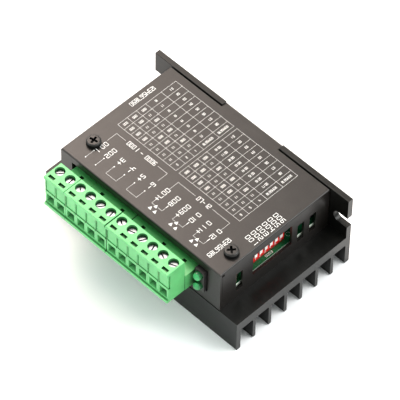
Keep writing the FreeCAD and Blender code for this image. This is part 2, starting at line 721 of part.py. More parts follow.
def build_switch():
    save("dip_switch_body", [dip_switch_body()])
    for number, y in enumerate(lever_centres(), 1):
        save("dip_lever_%d" % number, [dip_lever(y)])
    legs = dip_switch_legs()
    save("dip_switch_pins", legs)
    return legs


def build_lamps():
    legs = []
    for name in LED_HEIGHTS:
        save(name, led(name))
        legs.extend(led_legs(name))
    save("led_holder", [led_holder()])
    return legs


def build_board_parts():
    save("driver_chip", [driver_chip()])
    save("thermal_pad", [thermal_pad()])
    save("bulk_capacitors", [capacitor(x, y) for x, y in CAPACITOR_PLACES])
    save("optocouplers", [optocoupler(x) for x in OPTOCOUPLER_X])
    save("sense_resistors", [on_board(place, SENSE_SIZE) for place in SENSE_PLACES])
    save("voltage_regulator", [voltage_regulator()])
    save("power_inductor", [power_inductor()])
    save("surface_mount_parts", small_parts())


def build_frame(pins, legs):
    save("heatsink", [heatsink()])
    save("top_cover", [top_cover()])
    save("cover_screws", cover_screws())
    save("cover_posts", [cover_post(x, y) for x, y in POST_PLACES])
    save("board_spacers", [board_spacer(x, y) for x, y in POST_PLACES + REAR_SCREW_PLACES])
    save("board_screws", [pan_screw(x, y, BOARD_TOP, STUD_BOTTOM, 20.0) for x, y in REAR_SCREW_PLACES])
    save("circuit_board", [circuit_board(pins, legs)])


os.makedirs("parts", exist_ok=True)
terminal_pins = build_terminal_blocks()
all_legs = build_switch() + build_lamps()
build_board_parts()
build_frame(terminal_pins, all_legs)
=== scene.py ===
"""Looks for a small stepper motor driver module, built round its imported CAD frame.

Laid out as an add-on: settings, one operator for each piece or group of like pieces, and a panel.
Every length is in metres, in the frame's own axes: +X along the heatsink, +Z up.
"""

import json
import math

import bmesh
import bpy
from bpy.props import FloatProperty, FloatVectorProperty, PointerProperty
from mathutils import Matrix, Vector


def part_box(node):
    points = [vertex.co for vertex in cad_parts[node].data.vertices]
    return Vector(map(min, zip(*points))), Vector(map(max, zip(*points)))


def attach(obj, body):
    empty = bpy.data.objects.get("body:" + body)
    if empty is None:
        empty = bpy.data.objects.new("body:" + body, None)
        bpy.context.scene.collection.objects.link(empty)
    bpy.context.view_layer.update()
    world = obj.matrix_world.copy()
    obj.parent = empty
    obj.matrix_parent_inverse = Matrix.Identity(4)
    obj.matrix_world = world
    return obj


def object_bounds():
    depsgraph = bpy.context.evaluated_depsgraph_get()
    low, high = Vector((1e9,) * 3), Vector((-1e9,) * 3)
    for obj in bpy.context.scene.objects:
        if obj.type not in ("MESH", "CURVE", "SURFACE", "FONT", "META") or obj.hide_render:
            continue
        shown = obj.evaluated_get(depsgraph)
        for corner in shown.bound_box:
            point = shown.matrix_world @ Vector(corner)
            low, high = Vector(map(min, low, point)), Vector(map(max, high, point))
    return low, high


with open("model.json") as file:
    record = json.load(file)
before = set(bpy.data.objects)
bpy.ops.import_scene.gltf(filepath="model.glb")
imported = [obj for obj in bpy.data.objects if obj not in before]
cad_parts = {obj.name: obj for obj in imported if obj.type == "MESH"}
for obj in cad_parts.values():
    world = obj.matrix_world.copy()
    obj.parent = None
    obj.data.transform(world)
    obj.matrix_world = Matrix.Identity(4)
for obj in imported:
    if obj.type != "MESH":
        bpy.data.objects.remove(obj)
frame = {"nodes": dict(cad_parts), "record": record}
CAD_LOW, CAD_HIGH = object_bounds()

bl_info = {
    "name": "Stepper driver module",
    "version": (1, 0, 0),
    "blender": (4, 5, 0),
    "location": "View3D > Sidebar > Driver",
    "description": "Finishes, print and lamps for a stepper driver module",
    "category": "Object",
}

MM = 0.001
ROOT_BODY = "driver"

COVER_LOW, COVER_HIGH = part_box("top_cover")
COVER_TOP = COVER_HIGH.z
BOARD_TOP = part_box("circuit_board")[1].z
POLES = 12
LEVERS = 6
PRINT_THICKNESS = 0.03 * MM
PRINT_SINK = 0.01 * MM


def screw_x(number):
    """X of one terminal's screw."""
    low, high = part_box("terminal_screw_%02d" % number)
    return (low.x + high.x) / 2


def lever_y(number):
    """Y of one switch lever."""
    low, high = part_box("dip_lever_%d" % number)
    return (low.y + high.y) / 2


# ---------------------------------------------------------------- settings

def colour(name, description, value):
    return FloatVectorProperty(name=name, description=description, default=value, size=3,
                               min=0.0, max=1.0, subtype="COLOR")


def length(name, description, millimetres):
    return FloatProperty(name=name, description=description, default=millimetres * MM, unit="LENGTH")


class DriverFinishes(bpy.types.PropertyGroup):
    anodised: colour("Anodised black", "Dye colour of the heatsink", (0.0068, 0.0066, 0.0058))
    saw_cut: colour("Saw cut ends", "Heatsink ends, cut before anodising", (0.027, 0.026, 0.025))
    coat: colour("Cover coat", "Colour of the cover's coating", (0.0085, 0.0072, 0.0062))
    ink: colour("Print", "Colour of the printed marks", (0.92, 0.92, 0.90))
    terminal: colour("Terminal plastic", "Colour of plugs and sockets", (0.125, 0.445, 0.165))
    board: colour("Solder mask", "Colour of the circuit board", (0.008, 0.120, 0.045))
    laminate: colour("Bare laminate", "Colour of the board's cut edge", (0.800, 0.930, 0.760))
    switch: colour("Switch body", "Colour of the switch block", (0.880, 0.022, 0.016))
    lamp: colour("Lamp tint", "Tint of the lamps' resin", (0.120, 0.760, 0.290))


class DriverPrint(bpy.types.PropertyGroup):
    line: length("Line width", "Width of the printed lines", 0.07)
    stroke: length("Stroke width", "Width of a figure's strokes", 0.22)
    label_height: length("Label height", "Height of the labels' figures", 1.75)
    cell_height: length("Cell height", "Height of the marks in a table's cells", 0.90)


class DriverStage(bpy.types.PropertyGroup):
    lens: FloatProperty(name="Lens", description="Focal length in millimetres", default=320.7, min=1.0)
    azimuth: FloatProperty(name="Azimuth", description="Camera's turn round the module, 0 looks along +Y",
                           default=math.radians(44.106), subtype="ANGLE")
    elevation: FloatProperty(name="Elevation", description="Camera's height above the horizon",
                             default=math.radians(51.58), subtype="ANGLE")
    roll: FloatProperty(name="Roll", description="Camera's lean", default=math.radians(1.18), subtype="ANGLE")
    distance: FloatProperty(name="Distance", description="From the camera to its aim", default=1.2593,
                            unit="LENGTH")
    floor: colour("Floor", "Colour of the floor", (0.96, 0.96, 0.965))
    key: FloatProperty(name="Key light", description="Power of the soft box on the left, in watts",
                       default=3.0)
    back: FloatProperty(name="Back light", description="Power of the soft box behind, in watts", default=3.4)
    front: FloatProperty(name="Front light", description="Power of the soft box in front, in watts",
                         default=2.6)
    sky: FloatProperty(name="Surround", description="Strength of the even light all round", default=0.85)


# ---------------------------------------------------------------- shader tools

class Graph:
    """Short calls for building one node tree."""

    def __init__(self, tree):
        self.tree = tree

    def node(self, kind, **values):
        made = self.tree.nodes.new(kind)
        for name, value in values.items():
            setattr(made, name, value)
        return made

    def put(self, socket, value):
        """Links an output to a socket, or sets the socket's own value."""
        if isinstance(value, bpy.types.NodeSocket):
            self.tree.links.new(value, socket)
        else:
            socket.default_value = value

    def math(self, operation, a, b=0.0, clamp=False):
        made = self.node("ShaderNodeMath", operation=operation, use_clamp=clamp)
        self.put(made.inputs[0], a)
        self.put(made.inputs[1], b)
        return made.outputs[0]

    def mix(self, factor, a, b):
        made = self.node("ShaderNodeMix", data_type="RGBA")
        self.put(made.inputs["Factor"], factor)
        self.put(made.inputs[6], a)
        self.put(made.inputs[7], b)
        return made.outputs[2]

    def spread(self, value, low, high, to_low, to_high):
        """Maps one range of values onto another, held at its ends."""
        made = self.node("ShaderNodeMapRange")
        for name, number in (("Value", value), ("From Min", low), ("From Max", high),
                             ("To Min", to_low), ("To Max", to_high)):
            self.put(made.inputs[name], number)
        return made.outputs["Result"]

    def place(self, stretch=(1.0, 1.0, 1.0)):
        """Object coordinates, stretched."""
        mapping = self.node("ShaderNodeMapping")
        self.put(mapping.inputs["Vector"], self.node("ShaderNodeTexCoord").outputs["Object"])
        self.put(mapping.inputs["Scale"], stretch)
        return mapping.outputs["Vector"]

    def noise(self, vector, scale, detail=3.0, rough=0.55):
        made = self.node("ShaderNodeTexNoise")
        for name, number in (("Vector", vector), ("Scale", scale), ("Detail", detail), ("Roughness", rough)):
            self.put(made.inputs[name], number)
        return made.outputs["Fac"]

    def facing(self, axis):
        """Geometry normal's component along X, Y or Z."""
        split = self.node("ShaderNodeSeparateXYZ")
        self.put(split.inputs[0], self.node("ShaderNodeNewGeometry").outputs["Normal"])
        return split.outputs[axis]

    def group(self, name, **values):
        """Places a shared effect with its own values and returns its node."""
        made = self.node("ShaderNodeGroup")
        made.node_tree = bpy.data.node_groups[name]
        for key, value in values.items():
            self.put(made.inputs[key.replace("_", " ").capitalize()], value)
        return made


def start_group(name, inputs, outputs):
    """A new group with float inputs (name, default) and float outputs, and its graph."""
    tree = bpy.data.node_groups.new(name, "ShaderNodeTree")
    for label, default in inputs:
        socket = tree.interface.new_socket(label, in_out="INPUT", socket_type="NodeSocketFloat")
        socket.default_value = default
    for label in outputs:
        tree.interface.new_socket(label, in_out="OUTPUT", socket_type="NodeSocketFloat")
    graph = Graph(tree)
    return graph, graph.node("NodeGroupInput").outputs, graph.node("NodeGroupOutput").inputs


def make_grain_group():
    """Fine all-over grain with slow clouds under it, as on a coating or moulded plastic."""
    graph, given, out = start_group("Fine grain", [("Scale", 2500.0), ("Clouds", 60.0)],
                                    ["Height", "Cloud"])
    place = graph.place()
    graph.put(out["Height"], graph.noise(place, given["Scale"], 2.0, 0.6))
    graph.put(out["Cloud"], graph.noise(place, given["Clouds"], 3.0, 0.5))


def make_lines_group():
    """Long fine lines along X, as an extrusion die or a brush leaves."""
    graph, given, out = start_group("Draw lines", [("Scale", 2500.0)], ["Height", "Streak"])
    graph.put(out["Height"], graph.noise(graph.place((0.02, 1.0, 1.0)), given["Scale"], 2.0, 0.7))
    slow = graph.math("MULTIPLY", given["Scale"], 0.22)
    graph.put(out["Streak"], graph.noise(graph.place((0.05, 1.0, 1.0)), slow, 3.0, 0.6))


def make_wear_group():
    """Mask that is 1 along outer edges, broken up by noise."""
    graph, given, out = start_group("Edge wear", [("Width", 0.0002), ("Amount", 1.0)], ["Mask"])
    bevel = graph.node("ShaderNodeBevel", samples=4)
    graph.put(bevel.inputs["Radius"], given["Width"])
    dot = graph.node("ShaderNodeVectorMath", operation="DOT_PRODUCT")
    graph.put(dot.inputs[0], bevel.outputs["Normal"])
    graph.put(dot.inputs[1], graph.node("ShaderNodeNewGeometry").outputs["Normal"])
    edge = graph.spread(dot.outputs["Value"], 0.995, 0.90, 0.0, 1.0)
    rub = graph.spread(graph.noise(graph.place(), 900.0, 4.0, 0.65), 0.40, 0.62, 0.15, 1.0)
    graph.put(out["Mask"], graph.math("MULTIPLY", graph.math("MULTIPLY", edge, rub), given["Amount"], True))


def make_cavity_group():
    """Painted shade: a mask that is 1 deep in holes and narrow gaps, where other surfaces stand close by."""
    graph, given, out = start_group("Painted cavity shade", [("Reach", 0.003), ("Amount", 1.0)], ["Mask"])
    # Ambient occlusion marks where shade falls, so this mask paints shade into the colour.
    room = graph.node("ShaderNodeAmbientOcclusion", samples=6)
    graph.put(room.inputs["Distance"], given["Reach"])
    closed = graph.spread(room.outputs["AO"], 0.34, 0.82, 1.0, 0.0)
    graph.put(out["Mask"], graph.math("MULTIPLY", closed, given["Amount"], True))


def make_dust_group():
    """Thin dust that settles on faces that look up."""
    graph, given, out = start_group("Settled dust", [("Amount", 0.1)], ["Mask"])
    upward = graph.spread(graph.facing("Z"), 0.3, 0.95, 0.0, 1.0)
    patch = graph.spread(graph.noise(graph.place(), 140.0, 5.0, 0.65), 0.42, 0.75, 0.2, 1.0)
    speck = graph.spread(graph.noise(graph.place(), 2600.0, 1.0, 0.5), 0.66, 0.74, 0.0, 1.0)
    layer = graph.math("ADD", graph.math("MULTIPLY", patch, 0.6), graph.math("MULTIPLY", speck, 0.7))
    settled = graph.math("MULTIPLY", upward, layer)
    graph.put(out["Mask"], graph.math("MULTIPLY", settled, given["Amount"], True))


def opaque(rgb):
    return (rgb[0], rgb[1], rgb[2], 1.0)


def shade(rgb, factor):
    return tuple(min(1.0, channel * factor) for channel in rgb)


def new_material(name, metal=0.0, specular=0.5, coat_rough=0.03, clear=0.0, index=1.5, glow=0.0):
    """A material with one Principled shader. Plain values go on the shader's own sockets."""
    material = bpy.data.materials.new(name)
    material.use_nodes = True
    graph = Graph(material.node_tree)
    shader = material.node_tree.nodes["Principled BSDF"]
    for socket, value in (("Metallic", metal), ("Specular IOR Level", specular),
                          ("Coat Roughness", coat_rough), ("Transmission Weight", clear), ("IOR", index),
                          ("Subsurface Weight", glow), ("Subsurface Scale", 0.6 * MM)):
        shader.inputs[socket].default_value = value
    return material, graph, shader


def add_bump(graph, shader, height, distance):
    bump = graph.node("ShaderNodeBump")
    graph.put(bump.inputs["Height"], height)
    bump.inputs["Distance"].default_value = distance
    bump.inputs["Strength"].default_value = 1.0
    graph.put(shader.inputs["Normal"], bump.outputs["Normal"])


# ---------------------------------------------------------------- materials

def anodised_material(finishes):
    """Black anodised extrusion: drawn lines along X, paler saw-cut ends, rubbed edges, thin dust."""
    material, graph, shader = new_material("anodised_black", specular=0.34)
    lines = graph.group("Draw lines", scale=2600.0)
    grain = graph.group("Fine grain", scale=5200.0, clouds=45.0)
    streak = graph.spread(lines.outputs["Streak"], 0.3, 0.7, 0.0, 1.0)
    base = graph.mix(streak, opaque(shade(finishes.anodised, 0.85)), opaque(shade(finishes.anodised, 1.2)))
    end = graph.spread(graph.math("ABSOLUTE", graph.facing("X")), 0.85, 0.98, 0.0, 1.0)
    base = graph.mix(end, base, opaque(finishes.saw_cut))
    wear = graph.group("Edge wear", width=0.12 * MM, amount=0.35)
    base = graph.mix(wear.outputs["Mask"], base, (0.16, 0.155, 0.15, 1.0))
    dust = graph.group("Settled dust", amount=0.03)
    base = graph.mix(dust.outputs["Mask"], base, (0.42, 0.40, 0.37, 1.0))
    graph.put(shader.inputs["Base Color"], base)
    graph.put(shader.inputs["Roughness"], graph.spread(grain.outputs["Cloud"], 0.3, 0.7, 0.28, 0.35))
    height = graph.math("ADD", lines.outputs["Height"], graph.math("MULTIPLY", grain.outputs["Height"], 0.5))
    add_bump(graph, shader, height, 0.008 * MM)
    return material


def coat_material(finishes):
    """Fine textured coating on the folded cover."""
    material, graph, shader = new_material("coated_cover")
    grain = graph.group("Fine grain", scale=4200.0, clouds=30.0)
    cloud = graph.spread(grain.outputs["Cloud"], 0.35, 0.65, 0.0, 1.0)
    base = graph.mix(cloud, opaque(shade(finishes.coat, 0.92)), opaque(shade(finishes.coat, 1.10)))
    speck = graph.spread(grain.outputs["Height"], 0.30, 0.70, 0.0, 1.0)
    base = graph.mix(graph.math("MULTIPLY", speck, 0.5), base, opaque(shade(finishes.coat, 2.4)))
    wear = graph.group("Edge wear", width=0.15 * MM, amount=0.30)
    base = graph.mix(wear.outputs["Mask"], base, (0.20, 0.19, 0.18, 1.0))
    dust = graph.group("Settled dust", amount=0.03)
    base = graph.mix(dust.outputs["Mask"], base, (0.45, 0.43, 0.40, 1.0))
    graph.put(shader.inputs["Base Color"], base)
    graph.put(shader.inputs["Roughness"], graph.spread(grain.outputs["Height"], 0.3, 0.7, 0.28, 0.38))
    add_bump(graph, shader, grain.outputs["Height"], 0.012 * MM)
    return material


def black_screw_material():
    """Oxide-blacked steel, rubbed brighter on its edges, with painted shade that blackens the recess floor
    and the lower sides of the head, which are also made rougher.
    """
    material, graph, shader = new_material("black_oxide", metal=0.3)
    grain = graph.group("Fine grain", scale=6000.0, clouds=300.0)
    wear = graph.group("Edge wear", width=0.12 * MM, amount=0.35)
    place = graph.node("ShaderNodeSeparateXYZ")
    graph.put(place.inputs[0], graph.node("ShaderNodeNewGeometry").outputs["Position"])
    # Painted shade: 1 up to 0.9 mm above the cover, over the recess floor and the head's lower sides.
    low_shade = graph.spread(place.outputs["Z"], COVER_TOP + 0.9 * MM, COVER_TOP + 1.2 * MM, 1.0, 0.0)
    base = graph.mix(grain.outputs["Cloud"], (0.014, 0.0135, 0.013, 1.0), (0.042, 0.040, 0.038, 1.0))
    base = graph.mix(wear.outputs["Mask"], base, (0.26, 0.25, 0.24, 1.0))
    graph.put(shader.inputs["Base Color"], graph.mix(low_shade, base, (0.002, 0.002, 0.002, 1.0)))
    smooth = graph.spread(grain.outputs["Cloud"], 0.3, 0.7, 0.26, 0.38)
    graph.put(shader.inputs["Roughness"], graph.math("ADD", smooth, graph.math("MULTIPLY", low_shade, 0.4)))
    add_bump(graph, shader, grain.outputs["Height"], 0.006 * MM)
    return material


def metal_material(name, rgb, smooth, rough):
    """Plated metal with drawn lines and slow tone changes."""
    material, graph, shader = new_material(name, metal=1.0)
    lines = graph.group("Draw lines", scale=5200.0)
    grain = graph.group("Fine grain", scale=6500.0, clouds=420.0)
    base = graph.mix(grain.outputs["Cloud"], opaque(shade(rgb, 0.82)), opaque(shade(rgb, 1.12)))
    graph.put(shader.inputs["Base Color"], base)
    graph.put(shader.inputs["Roughness"], graph.spread(lines.outputs["Height"], 0.3, 0.7, smooth, rough))
    add_bump(graph, shader, lines.outputs["Height"], 0.004 * MM)
    return material


def plastic_material(name, rgb, rough, grain_depth=0.008, glow=0.0):
    """Moulded plastic: faint grain, slow clouds of tone, softened edges, and painted shade that darkens its
    holes and narrow gaps.
    """
    material, graph, shader = new_material(name, glow=glow)
    grain = graph.group("Fine grain", scale=3800.0, clouds=160.0)
    cloud = graph.spread(grain.outputs["Cloud"], 0.3, 0.7, 0.0, 1.0)
    base = graph.mix(cloud, opaque(shade(rgb, 0.90)), opaque(shade(rgb, 1.10)))
    wear = graph.group("Edge wear", width=0.14 * MM, amount=0.35)
    base = graph.mix(wear.outputs["Mask"], base, opaque(shade(rgb, 1.7)))
    # Painted shade: the colour goes towards a dark copy of itself deep in holes, funnels and gaps.
    painted_shade = graph.group("Painted cavity shade", reach=3.0 * MM, amount=0.9)
    graph.put(shader.inputs["Base Color"], graph.mix(painted_shade.outputs["Mask"], base, opaque(shade(rgb, 0.15))))
    roughness = graph.spread(grain.outputs["Height"], 0.3, 0.7, rough - 0.05, rough + 0.06)
    graph.put(shader.inputs["Roughness"], roughness)
    add_bump(graph, shader, grain.outputs["Height"], grain_depth * MM)
    return material


def board_material(finishes):
    """Solder mask over copper tracks, with the pale laminate showing at the cut edge."""
    material, graph, shader = new_material("green_board", specular=0.3, coat_rough=0.15)
    place = graph.place()
    tracks = graph.node("ShaderNodeTexBrick", offset=0.37)
    graph.put(tracks.inputs["Vector"], place)
    for name, number in (("Scale", 260.0), ("Mortar Size", 0.035),
                         ("Brick Width", 0.9), ("Row Height", 0.35)):
        tracks.inputs[name].default_value = number
    weave = graph.noise(place, 1500.0, 2.0, 0.5)
    mask = graph.mix(tracks.outputs["Fac"], opaque(finishes.board), opaque(shade(finishes.board, 1.3)))
    mask = graph.mix(graph.math("MULTIPLY", weave, 0.35), mask, opaque(shade(finishes.board, 0.5)))
    layers = graph.noise(graph.place((0.1, 0.1, 1.0)), 3200.0, 2.0, 0.6)
    cut = graph.mix(layers, opaque(shade(finishes.laminate, 0.75)), opaque(shade(finishes.laminate, 1.2)))
    side = graph.spread(graph.math("ABSOLUTE", graph.facing("Z")), 0.4, 0.6, 1.0, 0.0)
    graph.put(shader.inputs["Base Color"], graph.mix(side, mask, cut))
    graph.put(shader.inputs["Roughness"], graph.spread(side, 0.0, 1.0, 0.28, 0.75))
    graph.put(shader.inputs["Coat Weight"], graph.spread(side, 0.0, 1.0, 0.2, 0.0))
    add_bump(graph, shader, tracks.outputs["Fac"], 0.03 * MM)
    return material


def lamp_material(finishes):
    """Tinted clear resin."""
    material, graph, shader = new_material("lamp_resin", clear=0.85, index=1.52)
    grain = graph.group("Fine grain", scale=1800.0, clouds=500.0)
    base = graph.mix(grain.outputs["Cloud"], opaque(shade(finishes.lamp, 0.8)),
                     opaque(shade(finishes.lamp, 1.25)))
    graph.put(shader.inputs["Base Color"], base)
    graph.put(shader.inputs["Roughness"], graph.spread(grain.outputs["Height"], 0.3, 0.7, 0.05, 0.14))
    add_bump(graph, shader, grain.outputs["Height"], 0.003 * MM)
    return material


def ink_material(finishes):
    """White screen print, a little uneven in its cover."""
    material, graph, shader = new_material("white_ink", specular=0.3)
    grain = graph.group("Fine grain", scale=5200.0, clouds=900.0)
    thin = graph.spread(grain.outputs["Cloud"], 0.30, 0.55, 0.35, 0.0)
    base = graph.mix(thin, opaque(finishes.ink), opaque(shade(finishes.ink, 0.55)))
    graph.put(shader.inputs["Base Color"], base)
    graph.put(shader.inputs["Roughness"], graph.spread(grain.outputs["Height"], 0.3, 0.7, 0.45, 0.6))
    add_bump(graph, shader, grain.outputs["Height"], 0.004 * MM)
    return material


def make_materials(finishes):
    """One material for each of the record's slots, by slot name, and the print's ink."""
    return {
        "black_anodised": anodised_material(finishes),
        "black_powder_coat": coat_material(finishes),
        "black_oxide_steel": black_screw_material(),
        "nickel_brass": metal_material("nickel_plate", (0.62, 0.58, 0.46), 0.22, 0.36),
        "zinc_steel": metal_material("zinc_plate", (0.30, 0.315, 0.335), 0.28, 0.42),
        "clamp_steel": metal_material("clamp_plate", (0.40, 0.41, 0.40), 0.30, 0.44),
        "tinned_pins": metal_material("tin_plate", (0.72, 0.71, 0.67), 0.24, 0.38),
        "green_board": board_material(finishes),
        "component_black": plastic_material("moulded_package", (0.030, 0.030, 0.031), 0.55),
        "thermal_pad": plastic_material("silicone_pad", (0.32, 0.38, 0.46), 0.70, 0.02),
        "ferrite_grey": plastic_material("ferrite", (0.085, 0.085, 0.09), 0.62, 0.02),
        "capacitor_sleeve": plastic_material("shrunk_sleeve", (0.020, 0.026, 0.060), 0.30),
        "terminal_green": plastic_material("terminal_plastic", finishes.terminal, 0.36, 0.008, 0.05),
        "switch_red": plastic_material("switch_plastic", finishes.switch, 0.34),
        "lever_white": plastic_material("lever_plastic", (0.86, 0.86, 0.83), 0.36),
        "holder_black": plastic_material("holder_nylon", (0.045, 0.042, 0.041), 0.42),
        "lamp_green": lamp_material(finishes),
        "white_ink": ink_material(finishes),
    }


def material_for(slot_name):
    if slot_name not in bpy.data.materials:
        raise ValueError("make the finishes first: there is no " + slot_name)
    return bpy.data.materials[slot_name]


# ---------------------------------------------------------------- print geometry

class Ink:
    """Collects flat closed strokes on a plane and turns them into one object."""

    def __init__(self, origin, along, up, width):
        self.mesh = bmesh.new()
        self.origin = Vector(origin)
        self.along = Vector(along)
        self.up = Vector(up)
        self.out = self.along.cross(self.up)
        self.width = width

    def point(self, u, v, lift):
        return self.origin + self.along * u + self.up * v + self.out * lift

    def prism(self, outline):
        """A thin closed plate with the given outline, counter-clockwise."""
        low = [self.mesh.verts.new(self.point(u, v, -PRINT_SINK)) for u, v in outline]
        high = [self.mesh.verts.new(self.point(u, v, PRINT_THICKNESS)) for u, v in outline]
        self.mesh.faces.new(list(reversed(low)))
        self.mesh.faces.new(high)
        count = len(outline)
        for i in range(count):
            j = (i + 1) % count
            self.mesh.faces.new([low[i], low[j], high[j], high[i]])

    def stroke(self, start, end, width=None):
        """A straight stroke with square ends that reach half its width further."""
        half = (width or self.width) / 2
        run = (Vector(end) - Vector(start)).normalized()
        side = Vector((-run.y, run.x)) * half
        first = Vector(start) - run * half
        last = Vector(end) + run * half
        self.prism([first - side, last - side, last + side, first + side])

    def path(self, points):
        for start, end in zip(points, points[1:]):
            self.stroke(start, end)

    def disc(self, centre, radius, sides=20):
        turn = 2 * math.pi / sides
        self.prism([(centre[0] + radius * math.cos(turn * i), centre[1] + radius * math.sin(turn * i))
                    for i in range(sides)])

    def circle(self, centre, radius, sides=28):
        """A ring of short strokes."""
        turn = 2 * math.pi / sides
        self.path([(centre[0] + radius * math.cos(turn * i), centre[1] + radius * math.sin(turn * i))
                   for i in range(sides + 1)])

    def finish(self, name, material):
        data = bpy.data.meshes.new(name)
        self.mesh.to_mesh(data)
        self.mesh.free()
        piece = bpy.data.objects.new(name, data)
        bpy.context.scene.collection.objects.link(piece)
        data.materials.append(material)
        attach(piece, ROOT_BODY)


# Strokes of a seven-stroke figure, in a cell as wide as FIGURE_WIDTH times its height
FIGURE_WIDTH = 0.46
FIGURE_STEP = 0.74
STROKES = {
    "a": ((0, 1), (1, 1)),
    "b": ((1, 0.5), (1, 1)),
    "c": ((1, 0), (1, 0.5)),
    "d": ((0, 0), (1, 0)),
    "e": ((0, 0), (0, 0.5)),
    "f": ((0, 0.5), (0, 1)),
    "g": ((0, 0.5), (1, 0.5)),
    "h": ((0.5, 0.1), (0.5, 0.9)),
}
FIGURES = {
    "0": "abcdef", "1": "bc", "2": "abged", "3": "abgcd", "4": "fgbc",
    "5": "afgcd", "6": "afgedc", "7": "abc", "8": "abcdefg", "9": "abcdfg",
    "-": "g", "+": "gh",
}


def row_length(text, height, stretch=1.0):
    return height * stretch * (FIGURE_STEP * (len(text) - 1) + FIGURE_WIDTH)


def write(ink, text, centre, reading, height, stretch=1.0, width=None):
    """A centred row of figures that runs in the reading direction."""
    along = Vector(reading)
    up = Vector((-along.y, along.x))
    start = Vector(centre) - along * (row_length(text, height, stretch) / 2) - up * (height / 2)
    across = along * (height * stretch)
    for number, figure in enumerate(text):
        corner = start + across * (FIGURE_STEP * number)
        for name in FIGURES.get(figure, ""):
            ends = [corner + across * (FIGURE_WIDTH * u) + up * (height * v) for u, v in STROKES[name]]
            ink.stroke(ends[0], ends[1], width)


DOWN = (0.0, -1.0)           # reads from the wall towards the terminals
ACROSS = (1.0, 0.0)          # reads along the heatsink


def cover_ink(width):
    return Ink((0, 0, COVER_TOP), (1, 0, 0), (0, 1, 0), width)


TABLE_ROWS = 9
TABLE_COLUMNS = (1.6, 1.7, 1.0, 1.0, 1.0)
TABLE_LOW_Y = COVER_LOW.y + 21.8 * MM
TABLE_HIGH_Y = TABLE_LOW_Y + 28.9 * MM
TABLES = ((-33.7 * MM, -4.4 * MM), (-2.9 * MM, 27.0 * MM))


def column_edges():
    """Y of the table's lines, from the wall side down."""
    unit = (TABLE_HIGH_Y - TABLE_LOW_Y) / sum(TABLE_COLUMNS)
    edges = [TABLE_HIGH_Y]
    for share in TABLE_COLUMNS:
        edges.append(edges[-1] - share * unit)
    return edges


def table_grid(settings):
    """The ruled lines of both tables."""
    ink = cover_ink(settings.line)
    edges = column_edges()
    for left, right in TABLES:
        pitch = (right - left) / TABLE_ROWS
        for row in range(TABLE_ROWS + 1):
            x = left + row * pitch
            ink.stroke((x, edges[-1]), (x, edges[0]))
        for y in edges:
            ink.stroke((left, y), (right, y))
    return ink


def table_text(table, column, row):
    """Plain counting: headings, cell numbers in the wide columns, and a count of two in the narrow ones."""
    wide = column < 2
    if row == TABLE_ROWS - 1:
        return "12345678" if wide else str(3 * table + column - 1)
    if wide:
        count = 1 + row + column * TABLE_ROWS
        return "%04d" % count if table and column else "%02d" % count
    return "11" if (row >> (column - 2)) & 1 else "000"


def table_marks(settings):
    """A row of figures in every cell of both tables."""
    ink = cover_ink(settings.stroke * 0.6)
    edges = column_edges()
    height = settings.cell_height
    for table, (left, right) in enumerate(TABLES):
        pitch = (right - left) / TABLE_ROWS
        for row in range(TABLE_ROWS):
            x = left + (row + 0.5) * pitch
            for column in range(len(TABLE_COLUMNS)):
                y = (edges[column] + edges[column + 1]) / 2
                write(ink, table_text(table, column, row), (x, y), DOWN, height)
    return ink


LABEL_Y = COVER_LOW.y + 10.9 * MM
WIDE = 1.35
LEADER_TOP_Y = COVER_LOW.y + 7.6 * MM
LEADER_LOW_Y = COVER_LOW.y + 3.5 * MM
BRACKET_Y = COVER_LOW.y + 18.7 * MM
BRACKET_LEG = 4.6 * MM
BRACKET_GAP = 1.2 * MM
DOT_RADIUS = 0.24 * MM
FIRST_LABEL_SHIFT = 0.9 * MM     # clears the head of the cover screw


def terminal_labels(settings):
    """Each terminal's number, with a sign on those that come in pairs."""
    ink = cover_ink(settings.stroke)
    height = settings.label_height
    for number in range(1, POLES + 1):
        sign = "+" if number % 2 else "-"
        if number <= 2:
            text = "%03d" % number
        elif number <= 6:
            text = str(number) + sign
        else:
            text = "%03d" % number + sign
        x = screw_x(number) + (FIRST_LABEL_SHIFT if number == 1 else 0)
        write(ink, text, (x, LABEL_Y), DOWN, height, WIDE)
    return ink


def supply_leaders(ink):
    """A line with a dot at each end from each supply terminal's number towards its terminal."""
    for number in (1, 2):
        x = screw_x(number)
        ink.stroke((x, LEADER_TOP_Y), (x, LEADER_LOW_Y))
        ink.disc((x, LEADER_TOP_Y), DOT_RADIUS)
        ink.disc((x, LEADER_LOW_Y), DOT_RADIUS)


def coil_symbol(ink, first):
    """A box open towards the wall that joins a pair of motor terminals."""
    left = screw_x(first)
    right = screw_x(first + 1)
    low = LEADER_LOW_Y
    ink.path([(left, LEADER_TOP_Y), (left, low), (right, low), (right, LEADER_TOP_Y)])
    for x in (left, right):
        ink.disc((x, LEADER_TOP_Y), DOT_RADIUS)


def triangle(ink, centre, size):
    x, y = centre
    ink.prism([(x - size / 2, y - size / 2), (x + size / 2, y - size / 2), (x, y + size / 2)])


def input_symbol(ink, first):
    """Diode and two arrows for a pair of input terminals."""
    left = screw_x(first)
    right = screw_x(first + 1)
    middle = (left + right) / 2
    low = LEADER_TOP_Y - 1.9 * MM
    ink.path([(left, LEADER_TOP_Y), (left, low), (middle - 0.5 * MM, low)])
    ink.path([(right, LEADER_TOP_Y), (right, low), (middle + 0.5 * MM, low)])
    triangle(ink, (middle - 0.3 * MM, low), 1.4 * MM)
    triangle(ink, (middle - 1.3 * MM, low - 1.8 * MM), 1.4 * MM)
    triangle(ink, (middle + 1.1 * MM, low - 1.9 * MM), 1.4 * MM)


def group_bracket(ink, first, last, text, settings):
    """A bracket over a group of terminals, broken by the group's first and last number."""
    left = screw_x(first)
    right = screw_x(last)
    middle = (left + right) / 2
    height = settings.label_height
    half = row_length(text, height) / 2 + BRACKET_GAP
    leg = BRACKET_Y - BRACKET_LEG
    ink.path([(left, leg), (left, BRACKET_Y), (middle - half, BRACKET_Y)])
    ink.path([(middle + half, BRACKET_Y), (right, BRACKET_Y), (right, leg)])
    write(ink, text, (middle, BRACKET_Y), ACROSS, height, width=settings.stroke)


